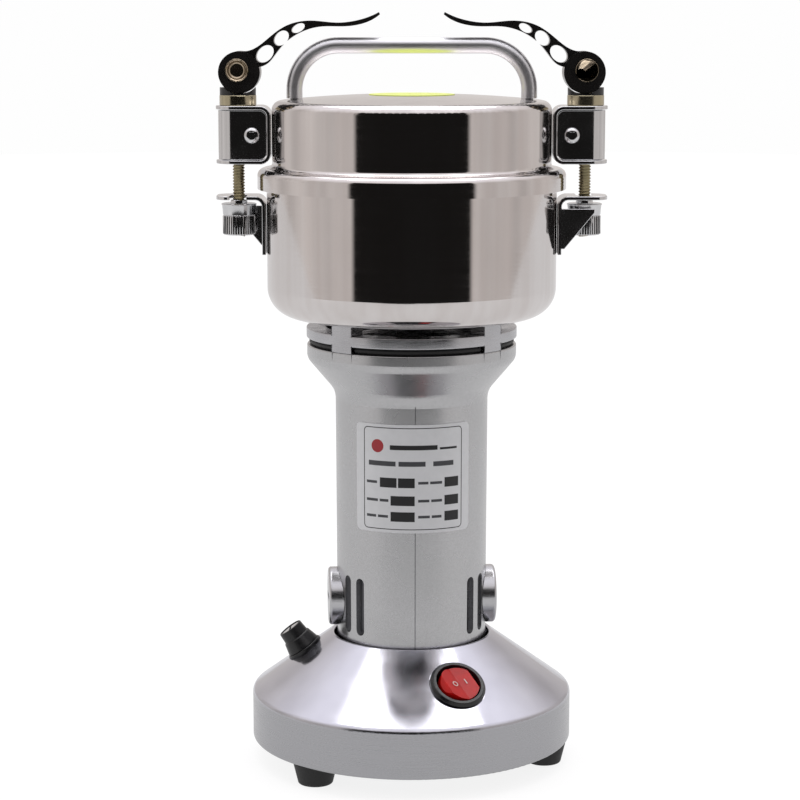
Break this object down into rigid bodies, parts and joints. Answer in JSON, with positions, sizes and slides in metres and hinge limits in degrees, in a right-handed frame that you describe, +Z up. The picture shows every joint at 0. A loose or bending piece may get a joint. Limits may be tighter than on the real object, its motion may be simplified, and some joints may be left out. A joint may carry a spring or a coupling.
{
  "type": "hammer mill",
  "caption": "Bench grain grinder: round steel bowl with a lid clamped by cam levers, on a motor tower with a conical base.",
  "frame": {"origin": "on the bench under the rotor's axis, level with the bottom of the feet", "axes": "+Z up along the rotor, +X from one clamp to the other, -Y out of the front where the label is"},
  "size_m": [0.1594, 0.1336, 0.3103],
  "materials": {
    "rubber_black": "matte",
    "polished_aluminium": "polished",
    "silver_paint": "satin metallic",
    "collar_aluminium": "cast and turned",
    "cap_aluminium": "satin",
    "stainless": "mirror polished stainless steel",
    "bright_steel": "bright plated",
    "yellow_zinc": "yellow zinc plated",
    "steel": "plain",
    "lamination": "dark laminated",
    "black_enamel": "gloss",
    "black_nylon": "satin",
    "black_gloss": "gloss",
    "red_lens": "gloss translucent",
    "brass": "plain",
    "copper_wire": "varnished",
    "carbon": "matte",
    "label_film": "printed",
    "sticker_film": "printed",
    "silicone": "translucent",
    "fan_plastic": "moulded",
    "fuse_glass": "clear"
  },
  "bodies": {
    "stand": {"feet": "rubber_black", "foot_screws": "steel", "base_shell": "polished_aluminium", "base_plate": "steel", "base_plate_screws": "steel", "switch_housing": "black_gloss", "switch_terminals": "brass", "fuse_holder": "black_nylon", "fuse_nut": "black_nylon", "fuse_tube": "fuse_glass", "cable_inlet": "black_nylon", "inlet_nut": "black_nylon", "motor_housing": "silver_paint", "housing_screws": "steel", "end_bracket": "collar_aluminium", "end_bracket_screws": "steel", "lower_bearing": "steel", "upper_bearing": "steel", "fan_collar": "collar_aluminium", "bowl_screws": "steel", "label_plate": "label_film", "brush_holders": "brass", "carbon_brushes": "carbon", "brush_springs": "steel", "brush_caps": "cap_aluminium", "stator_core": "lamination", "field_winding": "copper_wire", "bowl": "stainless", "shaft_seal": "rubber_black", "bowl_brackets": "bright_steel"},
    "lid": {"lid_cover": "stainless", "lid_gasket": "silicone", "lid_sticker": "sticker_film", "lid_handle": "bright_steel", "handle_screws": "steel", "lid_brackets": "bright_steel", "bracket_bands": "bright_steel", "band_screws": "bright_steel", "band_nuts": "steel", "clamp_bolts": "yellow_zinc", "pivot_pins": "bright_steel", "clamp_rings": "yellow_zinc", "saddle_washers": "black_nylon"},
    "left_lever": {"cam_lever_left": "black_enamel"},
    "right_lever": {"cam_lever_right": "black_enamel"},
    "left_nut": {"thumb_nut_left": "bright_steel"},
    "right_nut": {"thumb_nut_right": "bright_steel"},
    "rotor": {"motor_shaft": "steel", "armature_core": "lamination", "armature_winding": "copper_wire", "commutator": "copper_wire", "cooling_fan": "fan_plastic", "blade_lower": "steel", "hammer_bar": "steel", "blade_upper": "steel", "blade_sleeves": "steel", "blade_nut": "steel"},
    "rocker": {"switch_rocker": "red_lens"},
    "fuse_cap": {"fuse_cap": "black_nylon", "fuse_cap_contact": "bright_steel"}
  },
  "joints": [
    {"name": "lid_turn", "type": "hinge", "parent": "stand", "child": "lid", "pos_m": [0, 0, 0.2436], "axis": [0, 0, 1], "range_deg": [0, 160]},
    {"name": "left_lever_open", "type": "hinge", "parent": "lid", "child": "left_lever", "pos_m": [-0.0707, 0, 0.2871], "axis": [0, -1, 0], "range_deg": [0, 150]},
    {"name": "right_lever_open", "type": "hinge", "parent": "lid", "child": "right_lever", "pos_m": [0.0707, 0, 0.2871], "axis": [0, 1, 0], "range_deg": [0, 150]},
    {"name": "left_nut_turn", "type": "hinge", "parent": "lid", "child": "left_nut", "pos_m": [-0.0707, 0, 0.2274], "axis": [0, 0, 1], "continuous": true},
    {"name": "right_nut_turn", "type": "hinge", "parent": "lid", "child": "right_nut", "pos_m": [0.0707, 0, 0.2274], "axis": [0, 0, 1], "continuous": true},
    {"name": "rotor_spin", "type": "hinge", "parent": "stand", "child": "rotor", "pos_m": [0, 0, 0.11], "axis": [0, 0, 1], "continuous": true},
    {"name": "switch_press", "type": "hinge", "parent": "stand", "child": "rocker", "pos_m": [0.01781, -0.04409, 0.03973], "axis": [0.5038, -0.6465, -0.5728], "range_deg": [0, 18]},
    {"name": "fuse_cap_turn", "type": "hinge", "parent": "stand", "child": "fuse_cap", "pos_m": [-0.04462, 0.00156, 0.04456], "axis": [-0.5875, 0.0205, 0.8089], "range_deg": [0, 90]}
  ]
}
